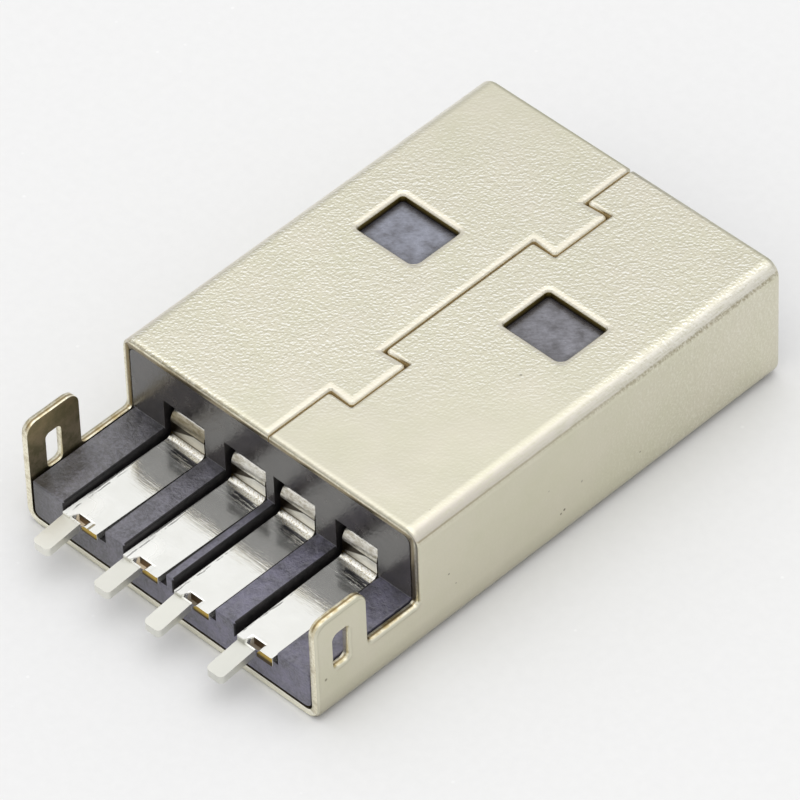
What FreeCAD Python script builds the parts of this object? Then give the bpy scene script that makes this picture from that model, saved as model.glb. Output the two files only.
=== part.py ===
import FreeCAD, Part
import math
import os

# A four-contact plug with solder tails, lying with its seam face up.
# While it is built, Y = 0 is the rear edge of the closed barrel, +Y runs to the mouth,
# X = 0 is the middle of the width and Z = 0 is the underside. All sizes are in millimetres.

# Shell, one folded sheet
shell_width = 12.0
shell_height = 4.5
sheet = 0.3
bend_radius = 0.55            # outside radius of the four long folds
barrel_length = 15.1          # closed part, rear edge to mouth
mouth_roll = 0.22             # outer rounding of the mouth
edge_ease = 0.08              # eased edge that blanking leaves round the outer face

# Deck behind the barrel: floor, low walls and two ears
deck_length = 4.1
low_wall = 1.7                # height of the low walls
ear_length = 2.05
ear_height = 3.86
ear_round = 0.42
ear_root = 0.2                # fillet between an ear and the low wall
wall_root = 0.15              # fillet between the low wall and the barrel
ear_slot_length = 0.62
ear_slot_height = 1.36
ear_slot_level = 2.38         # height of the middle of the slot
ear_slot_from_rear = 1.0      # rear edge to the middle of the slot
ear_slot_round = 0.18

# Latch windows, two in each broad face
window_width = 2.36
window_length = 1.94
window_centre = 2.96          # from the middle of the plug
window_from_mouth = 5.38      # mouth to the near edge of the window
window_round = 0.12
window_wide_round = 0.27      # the one wide corner of each window

# Seam with two dovetail tabs
seam_x = 0.05
seam_gap = 0.04
tab_reach = 0.9
tab_root_length = 2.12
tab_flare = 0.06              # how much longer each side of the tab is at its tip
tab_centres = (3.6, 12.0)
tab_round = 0.14              # standing corners of the tabs and of the pockets' mouths
tab_root_round = 0.05         # inner corners of both
tab_loose = 0.1               # slack at the loose end of each tab flank
tab_tight = 0.04              # slack at its tight end

# Insulator, one moulding
side_gap = 0.05               # between moulding and shell at each side
floor_gap = 0.05              # under the moulding, which sits against the seam face
tongue_thickness = 1.95
tongue_recess = 0.35          # mouth to the end of the tongue
tongue_lead = 0.2             # lead-in bevel on the end of the tongue
block_length = 4.6            # solid block behind the cavity
rib_top = 1.75
channel_floor = 1.22
channel_width = 1.68
window_top = 2.9              # top of the openings over the channels
pocket_depth = 0.75           # how far the openings run into the block
moulding_ease = 0.05          # eased edges of the ribs

# Contacts, four stamped strips
contact_pitches = (("outer_left", -3.5), ("inner_left", -1.0), ("inner_right", 1.0), ("outer_right", 3.5))
contact_thickness = 0.28
pad_width = 1.0
pad_proud = 0.04              # how far the pads stand out of the tongue
pad_gap = 0.03                # play of a contact in its slot
outer_pad_from_tip = 1.3      # end of the tongue to the nose of an outer contact
inner_pad_setback = 1.0       # inner contacts stop this much shorter
nose_rise = 0.32
nose_length = 0.5
plate_width = 1.38
plate_offset = -0.01          # plate middle from the contact's middle line
plate_round = 0.05            # corners of the plate's outline
riser_face = 0.1              # rear face of the riser, from the barrel's rear edge
riser_foot_bend = 0.2         # inside radius at the foot of the riser
riser_head_bend = 0.12        # inside radius at its head
shoulder_y = 0.55             # where the wide plate narrows to the pad
plate_overhang = 0.1          # plate beyond the rear edge of the deck
tail_width = 0.65
tail_length = 1.3             # beyond the plate
tail_drop = 0.15              # how far the tail is half-sheared down
tail_gap = 0.02               # rear edge of the deck to the tail's root
tail_tip_round = 0.16
neck_width = 0.25             # part of the tail's width that stays joined to the plate
notch_depth = 0.27            # relief over the tail's root and beside it
notch_slant = 0.15            # how far the notch's left side leans
notch_reach = 0.77            # left edge of the plate to the right side of the notch
notch_lip = 0.14              # sunken lip along that side

# Derived levels and stations
inner_top = shell_height - sheet
mould_bottom = sheet + floor_gap
tongue_face = inner_top - tongue_thickness
tongue_end = barrel_length - tongue_recess
window_front = barrel_length - window_from_mouth
window_rear = window_front - window_length
plate_middle = channel_floor + contact_thickness / 2
pad_middle = tongue_face - pad_proud + contact_thickness / 2
nose_corner = contact_thickness / 2 * math.sin(math.atan2(nose_rise, nose_length))
plate_rear = -deck_length - plate_overhang
tail_root = -deck_length - tail_gap
tail_end = plate_rear - tail_length
plate_top = channel_floor + contact_thickness
shift_y = -(barrel_length + tail_end) / 2
far = 2 * (barrel_length + deck_length)
hair = 1e-4                   # two sizes closer than this are the same
samples = 5                   # points looked at along an edge
smooth_angle = math.radians(5)  # faces that meet at less than this run on smoothly


def section(y):
    """Placement of (x, z) in the cross plane at y."""
    return lambda x, z: FreeCAD.Vector(x, y, z)


def side(x):
    """Placement of (y, z) in the upright long plane at x."""
    return lambda y, z: FreeCAD.Vector(x, y, z)


def plan(z):
    """Placement of (x, y) in the level plane at z."""
    return lambda x, y: FreeCAD.Vector(x, y, z)


def unit(ax, ay, bx, by):
    """Unit vector from a to b and its length."""
    length = math.hypot(bx - ax, by - ay)
    return (bx - ax) / length, (by - ay) / length, length


def outline(corners, place):
    """Closed wire through corners (u, v, radius), each rounded to its radius."""
    count = len(corners)
    stretches = []
    for i in range(count):
        u, v, radius = corners[i]
        pu, pv = corners[i - 1][:2]
        nu, nv = corners[(i + 1) % count][:2]
        if radius == 0:
            stretches.append(((u, v), None, (u, v)))
            continue
        au, av, _ = unit(u, v, pu, pv)
        bu, bv, _ = unit(u, v, nu, nv)
        half = math.acos(au * bu + av * bv) / 2
        reach = radius / math.tan(half)
        mu, mv, _ = unit(0, 0, au + bu, av + bv)
        depth = radius / math.sin(half) - radius
        stretches.append(((u + au * reach, v + av * reach),
                          (u + mu * depth, v + mv * depth),
                          (u + bu * reach, v + bv * reach)))
    edges = []
    for i in range(count):
        start, middle, end = stretches[i]
        if middle:
            edges.append(Part.Arc(place(*start), place(*middle), place(*end)).toShape())
        following = stretches[(i + 1) % count][0]
        edges.append(Part.LineSegment(place(*end), place(*following)).toShape())
    return Part.Wire(edges)


def prism(corners, place, run):
    """Solid swept from the rounded outline along run."""
    return Part.Face(outline(corners, place)).extrude(FreeCAD.Vector(*run))


def box(x0, x1, y0, y1, z0, z1):
    return Part.makeBox(x1 - x0, y1 - y0, z1 - z0, FreeCAD.Vector(x0, y0, z0))


def rounded(u0, u1, v0, v1, radius):
    """Corners of a rectangle, all rounded alike."""
    return [(u0, v0, radius), (u1, v0, radius), (u1, v1, radius), (u0, v1, radius)]


def bent_strip(path, thickness):
    """Corners of a strip of even thickness along path points (u, v, inside bend radius)."""
    near, other = [], []
    last = len(path) - 1
    for i, (u, v, bend) in enumerate(path):
        before = path[i - 1] if i > 0 else None
        after = path[i + 1] if i < last else None
        du, dv, _ = unit(*(before[:2] if before else (u, v)), *((u, v) if before else after[:2]))
        eu, ev, _ = unit(*((u, v) if after else before[:2]), *(after[:2] if after else (u, v)))
        scale = thickness / 2 / (1 + du * eu + dv * ev)
        ou, ov = -(dv + ev) * scale, (du + eu) * scale
        turn = du * ev - dv * eu
        inner, outer = (bend, bend + thickness) if before and after else (0, 0)
        near.append((u + ou, v + ov, inner if turn > 0 else outer))
        other.append((u - ou, v - ov, outer if turn > 0 else inner))
    return near + other[::-1]


def sharp(shape, edge):
    """Whether the two faces beside an edge meet at an angle."""
    middle = edge.valueAt((edge.FirstParameter + edge.LastParameter) / 2)
    normals = []
    for face in shape.ancestorsOfType(edge, Part.Face):
        u, v = face.Surface.parameter(middle)
        normals.append(face.normalAt(u, v))
    return normals[0].getAngle(normals[-1]) > smooth_angle


def sharp_edges(shape, test):
    """Sharp edges of the shape that pass the test all along, their ends aside."""
    picked = []
    for edge in shape.Edges:
        inner = edge.discretize(samples)[1:-1]
        if all(test(p) for p in inner) and sharp(shape, edge):
            picked.append(edge)
    return picked


def near(a, b):
    return abs(a - b) < hair


def on_skin(p):
    """Whether a point lies on the outer face of the folded sheet."""
    across = abs(p.x) - (shell_width / 2 - bend_radius)
    up = abs(p.z - shell_height / 2) - (shell_height / 2 - bend_radius)
    if across > 0 and up > 0:
        return near(math.hypot(across, up), bend_radius)
    return near(max(across, up), bend_radius)


def side_profile():
    """Side view of the shell: deck, ear, low wall and barrel."""
    ear_front = ear_length - deck_length
    return [(-deck_length, 0, 0), (-deck_length, ear_height, ear_round),
            (ear_front, ear_height, ear_round), (ear_front, low_wall, ear_root),
            (0, low_wall, wall_root), (0, shell_height, 0),
            (barrel_length, shell_height, 0), (barrel_length, 0, 0)]


def window_cutters():
    """Prisms for the latch windows of both broad faces."""
    cutters = []
    for centre in (-window_centre, window_centre):
        x0, x1 = centre - window_width / 2, centre + window_width / 2
        corners = [(x0, window_rear, window_round), (x1, window_rear, window_wide_round),
                   (x1, window_front, window_round), (x0, window_front, window_round)]
        cutters.append(prism(corners, plan(-sheet), (0, 0, shell_height + 2 * sheet)))
    return cutters


def seam_slit():
    """Gap between the two edges of the sheet, round the dovetail tabs."""
    left, right = seam_x - seam_gap / 2, seam_x + seam_gap / 2
    tab_edge, pocket_edge = left + tab_reach, right + tab_reach
    tabs, pockets = [], []
    for centre in tab_centres:
        rear, front = centre - tab_root_length / 2, centre + tab_root_length / 2
        tabs += [(left, rear, tab_root_round), (tab_edge, rear - tab_flare, tab_round),
                 (tab_edge, front + tab_flare, tab_round), (left, front, tab_root_round)]
        pockets += [(right, rear - tab_loose, tab_round),
                    (pocket_edge, rear - tab_flare - tab_tight, tab_root_round),
                    (pocket_edge, front + tab_flare + tab_loose, tab_root_round),
                    (right, front + tab_tight, tab_round)]
    start, end = -sheet, barrel_length + sheet
    corners = [(left, start, 0)] + tabs + [(left, end, 0)]
    corners += [(right, end, 0)] + pockets[::-1] + [(right, start, 0)]
    return prism(corners, plan(shell_height / 2), (0, 0, shell_height))


def shell():
    """Folded sheet: barrel with its seam and windows, deck floor, low walls and slotted ears."""
    half = shell_width / 2
    outside = rounded(-half, half, 0, shell_height, bend_radius)
    inside = rounded(sheet - half, half - sheet, sheet, inner_top, bend_radius - sheet)
    length = deck_length + barrel_length
    solid = prism(outside, section(-deck_length), (0, length, 0))
    mouth = sharp_edges(solid, lambda p: near(p.y, barrel_length))
    solid = solid.makeFillet(mouth_roll, mouth)
    solid = solid.cut(prism(inside, section(-far / 2), (0, far, 0)))
    solid = solid.common(prism(side_profile(), side(-shell_width), (2 * shell_width, 0, 0)))
    slot_y = ear_slot_from_rear - deck_length
    slot = rounded(slot_y - ear_slot_length / 2, slot_y + ear_slot_length / 2,
                   ear_slot_level - ear_slot_height / 2, ear_slot_level + ear_slot_height / 2, ear_slot_round)
    solid = solid.cut(prism(slot, side(-shell_width), (2 * shell_width, 0, 0)))
    solid = solid.cut(window_cutters())
    solid = solid.cut(seam_slit())
    return solid.makeChamfer(edge_ease, sharp_edges(solid, on_skin))


def insulator():
    """Moulding: tongue, block with four openings and the ribbed deck behind it."""
    half = shell_width / 2 - sheet - side_gap
    corner = bend_radius - sheet
    body = prism(rounded(-half, half, mould_bottom, inner_top, corner),
                 section(-deck_length), (0, deck_length + tongue_end, 0))
    lead = sharp_edges(body, lambda p: near(p.y, tongue_end))
    body = body.makeChamfer(tongue_lead, lead)
    body = body.cut(box(-far, far, -far, 0, rib_top, far))
    body = body.cut(box(-far, far, block_length, far, -far, tongue_face))
    for name, centre in contact_pitches:
        body = body.cut(channel(centre))
        body = body.cut(contact_slot(name, centre))
    return body.makeChamfer(moulding_ease, sharp_edges(body, on_rear_edges))


def on_rear_edges(p):
    """Whether a point lies on the rib tops or on the rear face of the moulding."""
    return near(p.y, -deck_length) or near(p.z, rib_top) and p.y < -hair


def channel(centre):
    """Open channel in the deck that runs on into the block as the opening over it."""
    x0, x1 = centre - channel_width / 2, centre + channel_width / 2
    return box(x0, x1, -far, pocket_depth, channel_floor, window_top)


def nose_end(name):
    """Station of a contact's nose."""
    setback = inner_pad_setback if name.startswith("inner") else 0
    return tongue_end - outer_pad_from_tip - setback


def contact_slot(name, centre):
    """Slot that holds a contact, from the opening to just past its nose."""
    x0, x1 = centre - pad_width / 2 - pad_gap, centre + pad_width / 2 + pad_gap
    pad_top = pad_middle + contact_thickness / 2 + pad_gap
    end = nose_end(name) + nose_corner + pad_gap
    run = box(x0, x1, 0, end, tongue_face - pad_proud, pad_top)
    pocket = box(x0, x1, end - nose_length - contact_thickness, end, tongue_face, pad_top + nose_rise)
    return run.fuse(pocket)


def contact(name, centre):
    """Stamped strip: nose, pad under the tongue, riser in the opening, plate and stepped tail."""
    nose = nose_end(name)
    riser = riser_face + contact_thickness / 2
    strip = [(nose, pad_middle + nose_rise, 0), (nose - nose_length, pad_middle, contact_thickness),
             (riser, pad_middle, riser_head_bend), (riser, plate_middle, riser_foot_bend),
             (plate_rear, plate_middle, 0)]
    x0 = centre + plate_offset - plate_width / 2
    x1 = x0 + plate_width
    body = prism(bent_strip(strip, contact_thickness), side(x0), (plate_width, 0, 0))
    pad0, pad1 = centre - pad_width / 2, centre + pad_width / 2
    blank = [(x0, plate_rear, 0), (x1, plate_rear, plate_round), (x1, shoulder_y, plate_round),
             (pad1, shoulder_y, 0), (pad1, far, 0), (pad0, far, 0), (pad0, shoulder_y, 0),
             (x0, shoulder_y, plate_round)]
    body = body.common(prism(blank, plan(0), (0, 0, shell_height)))
    body = body.cut(notch(x0))
    return body.fuse(tail(x0)).removeSplitter()


def notch(x0):
    """Relief in the plate over the tail's root, with a sunken lip along its right side."""
    deep, behind = plate_rear + notch_depth, plate_rear - notch_depth
    neck, right = x0 + neck_width, x0 + notch_reach
    corners = [(neck, behind, 0), (neck, plate_rear, 0), (neck + notch_slant, deep, 0),
               (right, deep, 0), (right, behind, 0)]
    lip = [(right, plate_top - notch_lip, 0), (right + notch_lip, plate_top, 0),
           (right + notch_lip, shell_height, 0), (right, shell_height, 0)]
    opening = prism(corners, plan(0), (0, 0, shell_height))
    return opening.fuse(prism(lip, section(behind), (0, deep - behind, 0)))


def tail(x0):
    """Narrow tail along the plate's left side, one step lower and rounded at its tip."""
    x1 = x0 + tail_width
    corners = [(x0, tail_root, 0), (x0, tail_end, tail_tip_round),
               (x1, tail_end, tail_tip_round), (x1, tail_root, 0)]
    return prism(corners, plan(channel_floor - tail_drop), (0, 0, contact_thickness))


def write(node, shape):
    """Save one piece, moved so that the middle of the overall length is at Y = 0."""
    placed = shape.copy()
    placed.translate(FreeCAD.Vector(0, shift_y, 0))
    placed.exportStep("parts/" + node + ".step")


os.makedirs("parts", exist_ok=True)
write("shell", shell())
write("insulator", insulator())
for name, centre in contact_pitches:
    write("contact_" + name, contact(name, centre))
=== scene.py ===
import math

import bmesh
import bpy
from mathutils import Matrix, Vector


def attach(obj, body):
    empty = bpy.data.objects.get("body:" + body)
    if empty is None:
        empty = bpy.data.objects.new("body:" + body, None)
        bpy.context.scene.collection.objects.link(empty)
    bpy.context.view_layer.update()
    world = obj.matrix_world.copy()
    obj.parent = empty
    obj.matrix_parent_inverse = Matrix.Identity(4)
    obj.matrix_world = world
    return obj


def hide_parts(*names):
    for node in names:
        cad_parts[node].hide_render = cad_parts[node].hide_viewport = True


# A four-contact plug with a folded shell, lying on a white floor with its seam face up.
# X runs across the plug, Y from the tails to the mouth and Z upward.
# Lengths are in millimetres until they are written to a mesh, a camera or a bump.

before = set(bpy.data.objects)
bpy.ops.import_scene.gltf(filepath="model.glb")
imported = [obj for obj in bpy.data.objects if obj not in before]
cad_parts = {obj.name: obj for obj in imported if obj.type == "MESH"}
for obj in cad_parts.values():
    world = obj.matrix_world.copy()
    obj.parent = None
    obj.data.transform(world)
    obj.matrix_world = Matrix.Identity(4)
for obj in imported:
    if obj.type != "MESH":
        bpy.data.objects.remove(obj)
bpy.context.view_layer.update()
MM = 0.001

# Sizes and places on the shell

HALF = 6.0                       # half of its width
HEIGHT = 4.5
SHEET = 0.3                      # thickness of the metal
FOLD = 0.55                      # outer radius of its long corners
CREASE = HEIGHT - 0.31           # height of the crease below the upper corners
MOUTH = 10.3                     # front end
REAR = -4.8                      # rear edge of the closed barrel
LOW_WALL = 1.7                   # top of the low walls beside the deck
SEAM_X = 0.05                    # middle of the gap between the two edges of the sheet
TABS_Y = (-1.2, 7.2)             # middles of the dovetail tabs
TAB = (0.88, 1.09)               # reach of a tab beyond the seam, and half of its length
POCKET = (0.92, 1.16)            # the same of the pocket round it
WINDOWS_X = (-2.96, 2.96)        # middles of the latch windows
WINDOW_Y = 3.95
WINDOW_HALF = (1.18, 0.97)       # half sizes of a window along X and Y
# Y, Z and radius of small marks on the right side
SPOTS = ((-8.59, 1.61, 0.05), (0.96, 1.11, 0.04), (-3.62, 2.11, 0.035), (4.27, 1.19, 0.03),
         (-3.35, 1.54, 0.025))

# Sizes and places on the moulding and the contacts

DECK_REAR = -8.9
RIB_TOP = 1.75                   # upper face of the ribs between the channels
CHANNEL_FLOOR = 1.22
MOULDING_TOP = 4.2               # its upper face under the windows
OPENING_TOP = 2.9                # upper end of the openings in the block
OPENING_DEPTH = 0.75             # how far they run forward from the barrel's rear edge
INNER, OUTER = 1.0, 3.5          # places of the contacts to each side of the middle
PLATE_TOP = 1.5                  # upper face of a contact behind its riser
RISER_CREASE = 2.08              # between the lower and the upper facet of a riser
RISER_HEAD = 2.4                 # where a riser bends forward
PLATE_LEFT = -0.7                # left edge of a plate from the middle of its contact
TAIL_START = DECK_REAR - 0.02
TAIL_END = -10.3


# Camera

def camera():
    """Camera at the photograph's place: a long lens from the tail end, to the right and above."""
    azimuth, elevation, roll = (math.radians(v) for v in (46.104, 45.009, -2.266))
    aside, above, distance = 0.484, 0.549, 240.494
    focal, picture, sensor = 8289.671, 800, 36
    target = Vector((0, 1.2, HEIGHT / 2))
    back = Vector((math.sin(azimuth) * math.cos(elevation), -math.cos(azimuth) * math.cos(elevation),
                   math.sin(elevation)))
    right = Vector((math.cos(azimuth), math.sin(azimuth), 0))
    up = back.cross(right)
    x = right * math.cos(roll) + up * math.sin(roll)
    y = up * math.cos(roll) - right * math.sin(roll)
    place = (target - x * aside - y * above + back * distance) * MM
    data = bpy.data.cameras.new("view")
    data.sensor_width = sensor
    data.lens = focal * sensor / picture
    data.clip_start, data.clip_end = 10 * MM, 5000 * MM
    o = bpy.data.objects.new("view", data)
    turn = Matrix((x, y, back)).transposed()
    o.matrix_world = Matrix.Translation(place) @ turn.to_4x4()
    bpy.context.scene.collection.objects.link(o)
    bpy.context.scene.camera = o


# Node trees

class Tree:
    """Short hand for a material's node tree; its places are in millimetres."""

    def __init__(self, name):
        self.material = bpy.data.materials.new(name)
        self.material.use_nodes = True
        self.nodes = self.material.node_tree.nodes
        self.links = self.material.node_tree.links
        self.shader = self.nodes["Principled BSDF"]
        coordinates = self.nodes.new("ShaderNodeTexCoord")
        scale = self.nodes.new("ShaderNodeVectorMath")
        scale.operation = "SCALE"
        scale.inputs["Scale"].default_value = 1 / MM
        self.links.new(coordinates.outputs["Object"], scale.inputs[0])
        self.place = scale.outputs[0]
        split = self.nodes.new("ShaderNodeSeparateXYZ")
        self.links.new(self.place, split.inputs[0])
        self.x, self.y, self.z = split.outputs
        normal = self.nodes.new("ShaderNodeSeparateXYZ")
        self.links.new(self.nodes.new("ShaderNodeNewGeometry").outputs["True Normal"], normal.inputs[0])
        self.upward = normal.outputs[2]

    def put(self, socket, value):
        """Link or set a socket; nothing is done for None."""
        if isinstance(value, bpy.types.NodeSocket):
            self.links.new(value, socket)
        elif value is not None:
            socket.default_value = value

    def set(self, **values):
        """Inputs of the shader, with underscores for the spaces in their names."""
        for key, value in values.items():
            self.put(self.shader.inputs[key.replace("_", " ")], value)

    def math(self, kind, a, b=None):
        n = self.nodes.new("ShaderNodeMath")
        n.operation = kind
        self.put(n.inputs[0], a)
        self.put(n.inputs[1], b)
        return n.outputs[0]

    def sum(self, first, *others):
        for other in others:
            first = self.math("ADD", first, other)
        return first

    def less(self, a, b):
        return self.math("SUBTRACT", a, b)

    def times(self, first, *others):
        for other in others:
            first = self.math("MULTIPLY", first, other)
        return first

    def least(self, first, *others):
        for other in others:
            first = self.math("MINIMUM", first, other)
        return first

    def most(self, first, *others):
        for other in others:
            first = self.math("MAXIMUM", first, other)
        return first

    def size(self, value):
        """Value without its sign."""
        return self.math("ABSOLUTE", value)

    def span(self, value, start, end, low=0.0, high=1.0):
        """Value carried from start..end to low..high, held at both ends."""
        n = self.nodes.new("ShaderNodeMapRange")
        self.put(n.inputs["Value"], value)
        for key, v in (("From Min", start), ("From Max", end), ("To Min", low), ("To Max", high)):
            n.inputs[key].default_value = v
        return n.outputs["Result"]

    def fall(self, value, start, end):
        """1 up to the start, falling to 0 at the end."""
        return self.span(value, start, end, 1, 0)

    def across(self):
        """Place along X from the middle of the nearest contact."""
        outer = self.math("GREATER_THAN", self.size(self.x), (INNER + OUTER) / 2)
        middle = self.sum(self.times(outer, OUTER - INNER), INNER)
        return self.less(self.x, self.times(self.math("SIGN", self.x), middle))

    def box(self, x, y, half_x, half_y, rounding=0.0):
        """Distance outside a rectangle in plan, negative inside it, its corners rounded."""
        ax = self.less(self.size(self.less(self.x, x)), half_x - rounding)
        ay = self.less(self.size(self.less(self.y, y)), half_y - rounding)
        px, py = self.most(ax, 0), self.most(ay, 0)
        outside = self.math("SQRT", self.sum(self.times(px, px), self.times(py, py)))
        return self.less(self.sum(outside, self.least(self.most(ax, ay), 0)), rounding)

    def dot(self, y, z, radius):
        """1 in a small round mark on a side face."""
        dy, dz = self.less(self.y, y), self.less(self.z, z)
        away = self.math("SQRT", self.sum(self.times(dy, dy), self.times(dz, dz)))
        return self.fall(away, radius * 0.5, radius * 1.3)

    def line(self, value, at, half, soft):
        """1 along a line where the value is near a level, fading over the soft width at both sides."""
        return self.fall(self.size(self.less(value, at)), half, half + soft)

    def roll(self, distance, width, depth):
        """Height of a rounded rim: falls to minus depth where the distance reaches nothing."""
        near = self.fall(distance, 0, width)
        return self.times(near, near, -depth)

    def stretched(self, x, y, z):
        """Place scaled along each axis; a pattern on it is drawn out where the scale is small."""
        n = self.nodes.new("ShaderNodeMapping")
        self.put(n.inputs["Vector"], self.place)
        n.inputs["Scale"].default_value = (x, y, z)
        return n.outputs[0]

    def laid(self, along, ahead=0.0):
        """Place for a pattern drawn out along the line between X and Y, and moved ahead across it."""
        n = self.nodes.new("ShaderNodeMapping")
        n.vector_type = "TEXTURE"
        self.put(n.inputs["Vector"], self.place)
        n.inputs["Location"].default_value = (ahead, -ahead, 0)
        n.inputs["Rotation"].default_value = (0, 0, math.pi / 4)
        n.inputs["Scale"].default_value = (along, 1, 1)
        return n.outputs[0]

    def noise(self, cell, detail=2.0, rough=0.5, vector=None):
        """Noise with cells of about that many millimetres."""
        n = self.nodes.new("ShaderNodeTexNoise")
        self.put(n.inputs["Vector"], vector or self.place)
        n.inputs["Scale"].default_value = 1 / cell
        n.inputs["Detail"].default_value = detail
        n.inputs["Roughness"].default_value = rough
        return n.outputs["Fac"]

    def cells(self, cell):
        """Distance to the nearest of scattered points, in cells."""
        n = self.nodes.new("ShaderNodeTexVoronoi")
        self.put(n.inputs["Vector"], self.place)
        n.inputs["Scale"].default_value = 1 / cell
        return n.outputs["Distance"]

    def ramp(self, value, *stops):
        """Colour ramp between two (place, colour) stops."""
        n = self.nodes.new("ShaderNodeValToRGB")
        self.put(n.inputs["Fac"], value)
        for element, (at, colour) in zip(n.color_ramp.elements, stops):
            element.position = at
            element.color = (*colour, 1)
        return n.outputs["Color"]

    def mix(self, share, a, b, kind="MIX"):
        """Colour that goes from a to b with the share."""
        n = self.nodes.new("ShaderNodeMix")
        n.data_type = "RGBA"
        n.blend_type = kind
        self.put(n.inputs[0], share)
        self.put(n.inputs[6], (*a, 1) if isinstance(a, tuple) else a)
        self.put(n.inputs[7], (*b, 1) if isinstance(b, tuple) else b)
        return n.outputs[2]

    def darken(self, share, tone, colour):
        """Tone that goes to itself times the colour with the share."""
        return self.mix(share, tone, colour, "MULTIPLY")

    def bump(self, height):
        """Normal of a height in millimetres."""
        n = self.nodes.new("ShaderNodeBump")
        n.inputs["Distance"].default_value = MM
        self.put(n.inputs["Height"], height)
        return n.outputs[0]


def linear(c):
    """Linear value of a display value from 0 to 1."""
    return c / 12.92 if c <= 0.04045 else ((c + 0.055) / 1.055) ** 2.4


def srgb(r, g, b):
    """Linear colour of 8-bit display values."""
    return tuple(linear(c / 255) for c in (r, g, b))


# Plating of the shell

def above_walls(t):
    """1 above the low walls, where the barrel's rear edge stands free."""
    return t.span(t.z, LOW_WALL + 0.05, LOW_WALL + 0.15)


def rims(t):
    """Height of the rims rolled over in blanking, of seam, windows and rear edge, and a mask of them."""
    seam = t.less(t.x, SEAM_X)
    left = [seam] + [t.box(SEAM_X, y, *TAB) for y in TABS_Y]
    right = [seam] + [t.box(SEAM_X, y, *POCKET) for y in TABS_Y]
    seam_rim = t.most(t.times(t.least(*left), -1), t.times(t.least(*right), 2.0))
    seam_rim = t.sum(seam_rim, t.span(t.z, HEIGHT / 2 - 0.05, HEIGHT / 2 + 0.05, 2, 0))
    window_rim = t.least(*(t.box(x, WINDOW_Y, *WINDOW_HALF, 0.12) for x in WINDOWS_X))
    nearest = t.least(t.times(seam_rim, 1.2), t.times(window_rim, 1.45))
    near = t.fall(t.most(nearest, 0.06), 0.0, 0.28)
    broad = t.times(t.sum(t.times(near, near), near), -0.026)
    rear = t.roll(t.size(t.less(t.y, REAR)), 0.2, 0.04)
    return t.sum(broad, t.times(rear, above_walls(t))), t.fall(nearest, 0.16, 0.28)


def blasting(t, rim):
    """Raised grain, its slope towards the viewer for painted highlight and shade, and its strength, less on
    folds, rims and ends.
    """
    cell, along, shift = 0.086, 1.15, 0.024
    raised = t.noise(cell, 1.0, 0.5, t.laid(along))
    slope = t.less(raised, t.noise(cell, 1.0, 0.5, t.laid(along, shift)))
    near = t.less(t.times(t.x, 0.51), t.times(t.y, 0.49))
    strength = t.times(t.span(near, 0.2, 2.3, 1.0, 0.16), t.span(near, -7.0, -5.0, 0.25, 1.0),
                       t.span(t.z, HEIGHT - 0.4, HEIGHT - 0.05, 0.22, 1.0),
                       t.span(rim, 0, 1, 1.0, 0.45), t.span(t.y, MOUTH - 0.3, MOUTH - 0.1, 1.0, 0.2))
    return raised, slope, strength


def side_tones(t, tone, slope):
    """Flanks greyer and darker to the rear and the foot in painted shade; above them a pale, silky painted
    highlight on the fold over a ragged crease of painted shade.
    """
    across = t.size(t.x)
    flank = t.span(across, HALF - 0.14, HALF - 0.03)
    outer = t.span(across, HALF - 0.4, HALF - 0.3)
    # Painted shade: the flanks a little darker, most towards the rear
    tone = t.darken(t.times(flank, t.span(t.y, 0, 10.0, 1, 0.3)), tone, srgb(241, 241, 240))
    # Painted shadow along the foot, where the plug meets the floor
    tone = t.darken(t.times(outer, t.fall(t.z, 0.14, 0.36)), tone, srgb(158, 153, 142))
    # Painted highlight on the fold, pale and silky, paler towards the front
    fold = t.times(outer, t.span(t.z, CREASE - 0.01, CREASE + 0.05))
    silk = t.noise(0.06, 2.0, 0.6, t.stretched(1.0, 0.12, 1.0))
    pale = t.mix(t.span(t.y, -2.0, 6.0), srgb(226, 219, 208), srgb(244, 240, 229))
    tone = t.mix(t.times(fold, t.span(silk, 0.3, 0.6, 0.15, 0.85)), tone, pale)
    # Painted shade: the flanks darker towards the bottom and the rear
    low = t.times(t.fall(t.z, 0.1, 1.0), flank, t.span(t.y, -4.0, 8.0, 1, 0.35))
    tone = t.darken(low, tone, srgb(216, 215, 210))
    # Painted shade in the crease: a thin dark line strongest at the rear, and a ragged line beside it
    # strongest at the front and on the grain's shaded side
    crease = t.times(t.line(t.z, CREASE, 0.01, 0.03), flank, t.span(t.y, REAR, 6.0, 0.7, 0.15))
    tone = t.mix(crease, tone, srgb(140, 120, 84))
    ragged_crease_shade = t.times(t.line(t.sum(t.z, t.times(silk, 0.12)), CREASE + 0.02, 0.03, 0.06), outer,
                     t.span(t.y, 0.0, 6.0, 0.1, 0.6), t.span(slope, -0.1, 0.1, 1.0, 0.2))
    return t.mix(ragged_crease_shade, tone, srgb(146, 134, 106))


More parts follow.
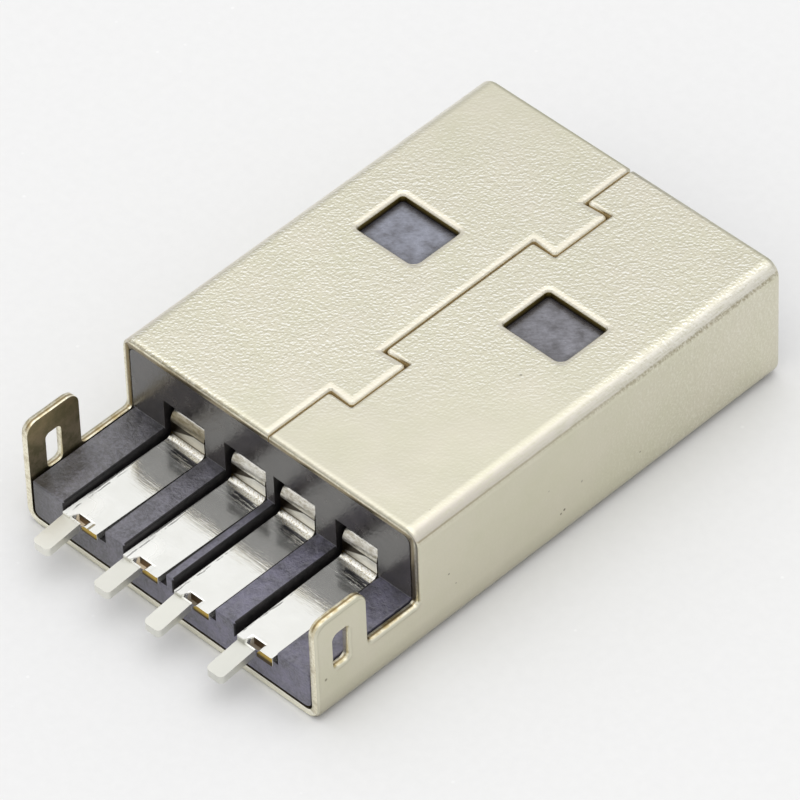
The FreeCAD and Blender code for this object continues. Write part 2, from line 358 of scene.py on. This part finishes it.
def worn_and_shaded_tones(t, tone):
    """Specks, a darker front edge in painted shade on its rolled-in lip, marks on the right side and a worn
    line at the barrel's rear edge.
    """
    speck = t.times(t.fall(t.cells(0.9), 0.035, 0.06), t.span(t.noise(1.7, 1.0), 0.58, 0.66))
    tone = t.mix(speck, tone, srgb(120, 112, 96))
    # The top a little darker towards the front
    tone = t.darken(t.span(t.y, 1.0, 9.0), tone, srgb(251, 251, 251))
    # Painted shade on the rolled-in front edge of the top
    front = t.times(t.span(t.y, MOUTH - 0.22, MOUTH - 0.04), t.span(t.z, HEIGHT - 0.3, HEIGHT - 0.1))
    tone = t.darken(front, tone, srgb(196, 196, 178))
    marks = t.times(t.most(*(t.dot(*spot) for spot in SPOTS)), t.span(t.x, HALF - 0.1, HALF - 0.05), 0.75)
    tone = t.mix(marks, tone, srgb(96, 86, 64))
    worn = t.times(t.line(t.y, REAR + 0.035, 0.015, 0.02), t.span(t.noise(0.3, 2.0), 0.45, 0.6, 0.1, 0.5),
                   t.span(t.x, -1.5, 1.5, 1, 0.3), above_walls(t))
    return t.mix(worn, tone, srgb(160, 144, 98))


def inner_tones(t, tone):
    """Olive on the inner side of the ears and low walls."""
    inside = t.times(t.fall(t.size(t.x), HALF - 0.26, HALF - 0.22), t.fall(t.y, REAR - 0.02, REAR),
                     t.span(t.z, 0.1, 0.2))
    olive = t.mix(t.span(t.z, 1.8, 3.6), srgb(196, 182, 150), srgb(164, 146, 112))
    olive = t.mix(t.span(t.noise(0.4, 4.0, 0.7), 0.42, 0.62, 0, 0.7), olive, srgb(128, 124, 88))
    return t.mix(inside, tone, olive)


def plated_sheet():
    """Champagne plating over a blasted strip; olive and plainer on the inner side of ears and walls."""
    t = Tree("plated_sheet")
    drift = t.noise(2.2, 3.0, 0.6)
    rim_height, rim = rims(t)
    raised, slope, strength = blasting(t, rim)
    tone = t.ramp(drift, (0.3, srgb(220, 217, 195)), (0.7, srgb(225, 220, 202)))
    # Painted shade on the grain's sides turned from the viewer, painted highlights on those turned towards
    # it
    tone = t.mix(t.times(t.span(slope, -0.03, -0.16, 0, 0.62), strength), tone, srgb(180, 174, 152))
    tone = t.mix(t.times(t.span(slope, 0.07, 0.15), strength), tone, srgb(255, 254, 246))
    # Painted highlight: a lighter, pinker tone on the rolled rims by the seam and the windows
    tone = t.mix(t.times(rim, 0.3), tone, srgb(234, 225, 216))
    tone = inner_tones(t, worn_and_shaded_tones(t, side_tones(t, tone, slope)))
    rough = t.span(t.noise(1.2, 4.0, 0.65), 0.3, 0.75, 0.30, 0.38)
    height = t.sum(rim_height, t.times(raised, strength, 0.004), t.times(drift, 0.02))
    t.set(Base_Color=tone, Metallic=1.0, Roughness=rough, Normal=t.bump(height))
    return t.material


# Cut edges of the shell

def sheared_edge():
    """Cut edge of the sheet: crowned, bright and speckled without, olive brown within, painted pale as
    light on the bottom sheet.
    """
    t = Tree("sheared_edge")
    depth = t.least(t.less(HALF, t.size(t.x)), t.z, t.less(HEIGHT, t.z))
    off = t.less(t.times(depth, 2 / SHEET), 1)
    crown = t.times(off, off, -0.03)
    marks = t.noise(0.07, 3.0, 0.7)
    blots = t.noise(0.35, 2.0, 0.6)
    barrel = t.span(t.y, REAR - 0.04, REAR - 0.02)
    tops = t.times(t.span(t.upward, 0.3, 0.7), t.less(1, barrel))
    tone = t.ramp(marks, (0.35, srgb(220, 212, 183)), (0.55, srgb(247, 242, 221)))
    tone = t.mix(t.span(blots, 0.54, 0.7, 0, 0.38), tone, srgb(150, 132, 84))
    tone = t.mix(t.times(tops, t.span(blots, 0.4, 0.6, 0, 0.45)), tone, srgb(192, 166, 98))
    tone = t.mix(t.times(t.span(depth, 0.13, 0.19), barrel, 0.85), tone, srgb(112, 94, 56))
    tone = t.mix(t.times(t.line(depth, 0.2, 0.02, 0.03), tops, 0.8), tone, srgb(120, 96, 44))
    # Painted light: the cut edges of the bottom sheet made pale where they lie in the shade of the tails
    tone = t.mix(t.span(t.z, SHEET, SHEET + 0.04, 0.8, 0), tone, srgb(250, 247, 230))
    height = t.sum(crown, t.times(marks, 0.006))
    t.set(Base_Color=tone, Metallic=1.0, Roughness=0.3, Normal=t.bump(height))
    return t.material


def inner_cut():
    """Walls of the windows, dark olive with a golden lip over painted shade near black at their lower part,
    and of the seam, dull brown.
    """
    t = Tree("inner_cut")
    marks = t.noise(0.09, 3.0, 0.7, t.stretched(1.0, 1.0, 0.3))
    olive = t.mix(marks, srgb(94, 80, 36), srgb(134, 118, 66))
    # Painted shade: the window walls near black towards their lower edge
    tone = t.mix(t.span(t.z, HEIGHT - SHEET, HEIGHT - 0.14), srgb(40, 30, 20), olive)
    tone = t.mix(t.span(t.z, HEIGHT - 0.1, HEIGHT - 0.07), tone, srgb(206, 190, 122))
    seam = t.fall(t.size(t.x), 1.1, 1.2)
    tone = t.mix(seam, tone, t.mix(marks, srgb(150, 128, 84), srgb(196, 176, 130)))
    t.set(Base_Color=tone, Metallic=t.span(seam, 0, 1, 1.0, 0.1), Roughness=0.42,
          Normal=t.bump(t.times(marks, 0.012)))
    return t.material


# Contacts

def plate_tones(t, tone, u, flat, lines, streaks):
    """Plate with a ragged dark line at its left side, a painted reflection of the rib, and a dark, jagged
    painted reflection before the riser.
    """
    # Painted reflection: a ragged dark line where the rib's foot shows in the plate
    rib_reflection_line = t.times(t.line(t.sum(u, t.times(t.noise(0.3, 2.0), 0.08)), PLATE_LEFT + 0.11, 0.012, 0.02), flat,
                   t.fall(t.y, REAR - 2.4, REAR - 1.6), t.span(t.noise(0.35, 2.0), 0.42, 0.55))
    tone = t.mix(t.times(rib_reflection_line, 0.7), tone, srgb(90, 88, 84))
    jag = t.times(t.span(t.sum(t.y, t.times(lines, 1.3)), REAR + 0.22, REAR + 0.3),
                  t.span(t.sum(u, t.times(streaks, 0.9)), 0.15, 0.25), flat)
    return t.mix(t.times(jag, 0.92), tone, srgb(52, 52, 68))


def riser_tones(t, u, streaks):
    """Painted reflections on two streaked facets and a painted highlight on the bend above; darker on the
    first riser, paler on the second.
    """
    # Painted reflections: the upper facet streaked, the lower dark at its left, reflecting the rib wall,
    # and white to the right, reflecting the plate
    upper = t.mix(t.span(streaks, 0.35, 0.65), srgb(186, 179, 160), srgb(240, 237, 228))
    bright = t.span(t.sum(u, t.times(streaks, 0.5)), -0.4, 0.5)
    lower = t.mix(bright, srgb(112, 108, 98), srgb(250, 248, 240))
    tone = t.mix(t.span(t.z, RISER_CREASE, RISER_CREASE + 0.02), lower, upper)
    # Painted reflection darker on the first riser
    dull = t.times(t.fall(t.x, -2.3, -2.2), t.span(t.z, RISER_CREASE - 0.03, RISER_CREASE + 0.02, 0.4, 1.0))
    tone = t.darken(dull, tone, srgb(200, 195, 182))
    # Painted reflection paler on the second riser
    pale = t.times(t.line(t.x, -0.8, 0.25, 0.3), t.span(t.z, RISER_CREASE + 0.02, RISER_CREASE + 0.04),
                   t.span(streaks, 0.35, 0.65, 0.2, 0.7))
    tone = t.mix(pale, tone, srgb(246, 244, 236))
    # Painted highlight on the bend at the riser's head
    return t.mix(t.span(t.z, RISER_HEAD, RISER_HEAD + 0.04), tone, srgb(254, 254, 250))


def riser_shadows(t, tone, u, upright):
    """Dark wedge under the crease, dark left corner above it, and a dark line along the riser's foot."""
    drop = t.span(u, PLATE_LEFT + 0.04, 0.25, 0.36, 0.02)
    wedge = t.times(t.fall(t.z, RISER_CREASE, RISER_CREASE + 0.03),
                    t.span(t.sum(t.z, drop), RISER_CREASE - 0.03, RISER_CREASE + 0.01))
    corner = t.times(t.fall(u, PLATE_LEFT + 0.04, PLATE_LEFT + 0.2),
                     t.fall(t.z, RISER_CREASE, RISER_CREASE + 0.12))
    tone = t.mix(t.times(t.most(wedge, corner), upright), tone, srgb(44, 36, 22))
    return t.mix(t.times(t.line(t.z, PLATE_TOP + 0.14, 0.01, 0.02), 0.85), tone, srgb(96, 78, 34))


def tail_tones(t, tone, tail):
    """Matt tails, a little darker to the right, behind the brown wall of the step down to them, painted
    dark as shade.
    """
    # Painted shade on the wall of the step down to the tails
    wall = t.times(t.line(t.y, DECK_REAR - 0.1, 0.01, 0.01),
                   t.fall(t.z, PLATE_TOP - 0.08, PLATE_TOP - 0.05))
    tone = t.mix(t.times(wall, 0.85), tone, srgb(84, 66, 40))
    matt = t.mix(t.span(t.x, -OUTER, OUTER), srgb(228, 227, 218), srgb(206, 206, 198))
    return t.mix(t.times(tail, 0.9), tone, matt)


def plated_strip():
    """Bright plating with rolling lines along X; the riser is creased and streaked with painted
    reflections, its foot speckled.
    """
    t = Tree("plated_strip")
    u = t.across()
    flat = t.line(t.z, PLATE_TOP, 0.02, 0.03)
    upright = t.span(t.z, PLATE_TOP + 0.02, PLATE_TOP + 0.06)
    tail = t.times(t.fall(t.y, DECK_REAR - 0.1, DECK_REAR - 0.02),
                   t.fall(t.z, PLATE_TOP - 0.06, PLATE_TOP - 0.02))
    foot = t.times(t.span(t.y, REAR - 0.24, REAR - 0.18), t.fall(t.z, PLATE_TOP + 0.1, PLATE_TOP + 0.14))
    dull = t.times(t.fall(u, -0.35, 0.1), t.fall(t.y, -8.4, -7.7), t.fall(t.x, -0.5, 0.5), flat)
    lines = t.noise(0.045, 3.0, 0.6, t.stretched(0.06, 1.0, 1.0))
    streaks = t.noise(0.09, 3.0, 0.7, t.stretched(0.5, 1.0, 1.5))
    drift = t.noise(0.8, 3.0, 0.6)
    fine = t.noise(0.05, 2.0, 0.6)
    tone = t.ramp(drift, (0.3, srgb(247, 247, 242)), (0.7, srgb(252, 252, 248)))
    tone = plate_tones(t, tone, u, flat, lines, streaks)
    tone = t.mix(foot, tone, t.ramp(fine, (0.38, srgb(206, 197, 170)), (0.5, srgb(255, 253, 246))))
    face = t.times(upright, t.span(t.z, PLATE_TOP + 0.12, PLATE_TOP + 0.16))
    tone = t.mix(face, tone, riser_tones(t, u, streaks))
    tone = tail_tones(t, riser_shadows(t, tone, u, upright), tail)
    below_head = t.fall(t.z, RISER_HEAD - 0.04, RISER_HEAD + 0.04)
    satin = t.most(foot, t.times(upright, below_head), tail)
    rough = t.sum(t.span(drift, 0.3, 0.7, 0.08, 0.13), t.times(satin, 0.22), t.times(dull, 0.3))
    notch_edge = t.roll(t.less(t.y, DECK_REAR + 0.17), 0.07, 0.012)
    notch = t.times(notch_edge, t.span(u, -0.36, -0.28), t.fall(u, 0.22, 0.3), flat)
    before_riser = t.line(t.y, REAR - 0.3, 0.25, 0.2)
    height = t.sum(notch, t.times(lines, t.sum(0.002, t.times(before_riser, 0.006))), t.times(drift, 0.006))
    t.set(Base_Color=tone, Metallic=t.span(dull, 0, 1, 0.87, 0.2), Roughness=rough, Normal=t.bump(height))
    return t.material


def copper_cut():
    """Bare cut edge of the strip, golden above, with painted shade making it brown below and darker in the
    notch.
    """
    t = Tree("copper_cut")
    marks = t.noise(0.06, 3.0, 0.7, t.stretched(1.0, 1.0, 0.3))
    tone = t.mix(marks, srgb(176, 140, 44), srgb(214, 186, 92))
    # Painted shade: dark brown on the lower part of the cut edge
    tone = t.mix(t.fall(t.z, PLATE_TOP - 0.2, PLATE_TOP - 0.1), tone, srgb(70, 56, 30))
    # Painted shade: greyer and darker on the notch's wall
    tone = t.mix(t.span(t.y, DECK_REAR - 0.06, DECK_REAR - 0.04), tone, srgb(132, 112, 88))
    t.set(Base_Color=tone, Metallic=1.0, Roughness=0.34, Normal=t.bump(t.times(marks, 0.008)))
    return t.material


# Moulding

def shown_tones(t, clouds):
    """Moulding as the windows show it: lighter, mottled, with painted shade along the windows' edges."""
    right = t.span(t.x, -1, 1)
    weave = t.noise(0.12, 3.0, 0.7, t.laid(2.5))
    mottle = t.sum(t.times(clouds, t.span(right, 0, 1, 1.0, 0.85)), t.times(weave, 0.45))
    tone = t.ramp(mottle, (0.5, srgb(66, 65, 74)), (0.85, srgb(132, 135, 150)))
    tone = t.darken(right, tone, srgb(252, 246, 238))
    # Painted shade under the windows' walls
    edge = t.least(*(t.box(x, WINDOW_Y, *WINDOW_HALF) for x in WINDOWS_X))
    return t.mix(t.span(edge, -0.3, -0.04, 0, 0.8), tone, srgb(34, 32, 36))


def dark_moulding():
    """Dark grey moulding with a violet cast, cloudy and mottled, with painted shade before the block and
    beside the left ear, lighter where the windows show it.
    """
    t = Tree("dark_moulding")
    clouds = t.noise(0.6, 4.0, 0.65)
    fine = t.noise(0.09, 3.0, 0.6)
    neutral = t.ramp(clouds, (0.34, srgb(44, 42, 45)), (0.64, srgb(92, 90, 94)))
    violet = t.ramp(clouds, (0.34, srgb(50, 48, 62)), (0.64, srgb(100, 97, 119)))
    tone = t.mix(t.span(t.x, -OUTER, 1.0), neutral, violet)
    tone = t.mix(t.span(fine, 0.42, 0.6, 0.0, 0.35), tone, srgb(128, 126, 140))
    # Painted shade where the block and the left ear stand over the moulding
    before_block = t.span(t.y, REAR - 1.4, REAR - 0.1, 0.0, 0.75)
    beside_ear = t.times(t.fall(t.x, -5.3, -4.7), t.fall(t.y, -8.2, -6.6))
    dim = t.times(t.most(before_block, beside_ear), t.span(clouds, 0.4, 0.6, 1.0, 0.5))
    tone = t.mix(dim, tone, srgb(34, 32, 36))
    block = t.times(t.span(t.y, REAR - 0.06, REAR - 0.03), t.span(t.z, RIB_TOP + 0.02, RIB_TOP + 0.04))
    brown = t.ramp(clouds, (0.3, srgb(46, 43, 44)), (0.7, srgb(64, 59, 54)))
    tone = t.mix(t.times(block, 0.9), tone, brown)
    shown = t.times(t.span(t.z, MOULDING_TOP - 0.05, MOULDING_TOP - 0.01),
                    t.span(t.y, REAR + 0.1, REAR + 0.2))
    tone = t.mix(shown, tone, shown_tones(t, clouds))
    rough = t.sum(t.span(clouds, 0.3, 0.7, 0.36, 0.5), t.times(block, -0.2))
    uneven = t.sum(t.times(clouds, 0.05), t.times(fine, 0.02))
    height = t.times(uneven, t.span(block, 0, 1, 1.0, 0.25))
    t.set(Base_Color=tone, Roughness=rough, IOR=1.95, Normal=t.bump(height))
    return t.material


def dark_recess():
    """Walls and floors of channels and openings, painted near black as shade; the floor is painted pale as
    light in the notches.
    """
    t = Tree("dark_recess")
    clouds = t.noise(0.3, 3.0, 0.6)
    # Painted shade: walls and floors near black
    tone = t.ramp(clouds, (0.35, srgb(12, 11, 12)), (0.65, srgb(34, 30, 32)))
    # Painted light: the floor seen through the notches made pale
    notch = t.times(t.fall(t.y, DECK_REAR + 0.2, DECK_REAR + 0.3),
                    t.fall(t.z, CHANNEL_FLOOR + 0.01, CHANNEL_FLOOR + 0.04),
                    t.line(t.across(), -0.03, 0.38, 0.04), t.span(t.x, -0.5, 0.5, 1, 0.3))
    tone = t.mix(notch, tone, srgb(226, 208, 180))
    t.set(Base_Color=tone, Roughness=0.55, Normal=t.bump(t.times(clouds, 0.03)))
    return t.material


# Geometry

def welded(node):
    """Copy of a CAD node's mesh with its seams welded and its flat faces joined, in millimetres."""
    bm = bmesh.new()
    bm.from_mesh(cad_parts[node].data)
    bmesh.ops.remove_doubles(bm, verts=bm.verts, dist=1e-7)
    bmesh.ops.scale(bm, vec=(1 / MM, 1 / MM, 1 / MM), verts=bm.verts)
    bmesh.ops.dissolve_limit(bm, angle_limit=math.radians(0.5), verts=bm.verts, edges=bm.edges)
    return bm


def dressed(node, bm, materials, pick, name):
    """Piece that stands for a CAD node: faces sorted to materials, shading rounded over the eased edges."""
    sharp = math.radians(50)
    for face in bm.faces:
        face.smooth = True
        face.material_index = pick(face)
    for edge in bm.edges:
        if len(edge.link_faces) == 2:
            edge.smooth = edge.calc_face_angle() < sharp
    bmesh.ops.scale(bm, vec=(MM, MM, MM), verts=bm.verts)
    mesh = bpy.data.meshes.new(name)
    bm.to_mesh(mesh)
    bm.free()
    for material in materials:
        mesh.materials.append(material)
    o = bpy.data.objects.new(name, mesh)
    bpy.context.scene.collection.objects.link(o)
    weights = o.modifiers.new("weights", "WEIGHTED_NORMAL")
    weights.mode = "FACE_AREA"
    weights.weight = 100
    weights.keep_sharp = True
    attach(o, "root")
    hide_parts(node)


def shell_face(face):
    """0 for the sheet's broad faces, 1 for its outer cut edges, 2 for the walls of windows and seam."""
    c = face.calc_center_median()
    barrel = c.y > REAR + 0.01
    if face.normal.y < -0.9 and not barrel:
        return 1
    across, up = abs(c.x) - (HALF - FOLD), abs(c.z - HEIGHT / 2) - (HEIGHT / 2 - FOLD)
    depth = FOLD - (math.hypot(across, up) if across > 0 and up > 0 else max(across, up))
    if c.y > MOUTH - 0.3 or depth < 0.085 or depth > SHEET - 0.002:
        return 0
    return 2 if c.z > HEIGHT - SHEET and barrel else 1


def contact_face(face):
    """1 for the bare cut faces at the rear of the plate and in its notch, 0 elsewhere."""
    c = face.calc_center_median()
    middle = OUTER if abs(c.x) > (INNER + OUTER) / 2 else INNER
    u = c.x - math.copysign(middle, c.x)
    return 1 if face.normal.y < -0.5 and DECK_REAR - 0.2 < c.y < REAR - 1 and u > -0.4 else 0


def moulding_face(face):
    """1 for the walls and floors of the channels and openings behind the tongue, 0 elsewhere."""
    c, n = face.calc_center_median(), face.normal
    behind_tongue = c.y < REAR + OPENING_DEPTH + 0.01
    wall = abs(n.x) > 0.7 and abs(c.x) < 4.6 and behind_tongue and c.z < OPENING_TOP + 0.05
    return 1 if wall or (n.z > 0.9 and c.z < CHANNEL_FLOOR + 0.08) else 0


def bent(bm, sway, aside, root, tip):
    """Contact as handling left it: plate swayed along X, tail tip aside, tail root and tip up."""
    for v in bm.verts:
        v.co.x += sway * min(max((REAR - 0.1 - v.co.y) / 0.8, 0), 1)
        if v.co.y < TAIL_START + 0.001 and v.co.z < PLATE_TOP - 0.1:
            share = (TAIL_START - v.co.y) / (TAIL_START - TAIL_END)
            v.co.x += aside * share
            v.co.z += root + (tip - root) * share
    return bm


# Surroundings

def floor():
    """White floor with the faintest sparkle."""
    bpy.ops.mesh.primitive_plane_add(size=2000 * MM, location=(0, 0, 0))
    o = bpy.context.object
    o.name = "floor"
    t = Tree("floor_white")
    grain = t.noise(0.35, 2.0, 0.6)
    tone = t.ramp(grain, (0.3, srgb(234, 234, 234)), (0.7, srgb(236, 236, 236)))
    spark = t.times(t.fall(t.cells(0.8), 0.04, 0.09), t.span(t.noise(2.0, 1.0), 0.5, 0.6))
    tone = t.mix(t.times(spark, 0.7), tone, srgb(246, 246, 246))
    t.set(Base_Color=tone, Roughness=0.6, Specular_IOR_Level=0.2)
    o.data.materials.append(t.material)


def light():
    """Light tent: grey at the horizon, brightest overhead, and a little brighter towards the tail end."""
    world = bpy.data.worlds.new("studio")
    bpy.context.scene.world = world
    world.use_nodes = True
    nodes, links = world.node_tree.nodes, world.node_tree.links
    direction = nodes.new("ShaderNodeTexCoord").outputs["Generated"]
    split = nodes.new("ShaderNodeSeparateXYZ")
    links.new(direction, split.inputs[0])
    sky = nodes.new("ShaderNodeValToRGB")
    links.new(split.outputs["Z"], sky.inputs["Fac"])
    stops = ((0.0, 0.32), (0.12, 0.4), (0.4, 0.44), (0.74, 0.47), (0.88, 0.81))
    elements = sky.color_ramp.elements
    for at, _ in stops[1:-1]:
        elements.new(at)
    for element, (at, grey) in zip(elements, stops):
        element.position = at
        element.color = (grey, grey, grey, 1)
    towards = nodes.new("ShaderNodeVectorMath")
    towards.operation = "DOT_PRODUCT"
    towards.inputs[1].default_value = (-0.03, -0.16, 0.95)
    links.new(direction, towards.inputs[0])
    lean = nodes.new("ShaderNodeMapRange")
    for key, v in (("From Min", -1), ("From Max", 1), ("To Min", 1.42), ("To Max", 2.02)):
        lean.inputs[key].default_value = v
    links.new(towards.outputs["Value"], lean.inputs["Value"])
    level = nodes.new("ShaderNodeMath")
    level.operation = "MULTIPLY"
    links.new(sky.outputs["Color"], level.inputs[0])
    links.new(lean.outputs["Result"], level.inputs[1])
    links.new(level.outputs[0], nodes["Background"].inputs["Strength"])
    nodes["Background"].inputs["Color"].default_value = (1, 1, 1, 1)


bpy.context.scene.view_settings.view_transform = "Standard"
camera()
light()
floor()
dressed("shell", welded("shell"), [plated_sheet(), sheared_edge(), inner_cut()], shell_face,
        "shell_sheet")
dressed("insulator", welded("insulator"), [dark_moulding(), dark_recess()], moulding_face,
        "moulding")
strip, cut = plated_strip(), copper_cut()
for node, *shifts in (("contact_outer_left", -0.08, 0.06, 0.06, 0.0),
                      ("contact_inner_left", -0.08, 0.04, 0.03, 0.0),
                      ("contact_inner_right", 0.0, 0.03, 0.03, -0.1),
                      ("contact_outer_right", 0.05, 0.0, -0.04, -0.19)):
    dressed(node, bent(welded(node), *shifts), [strip, cut], contact_face, node + "_strip")
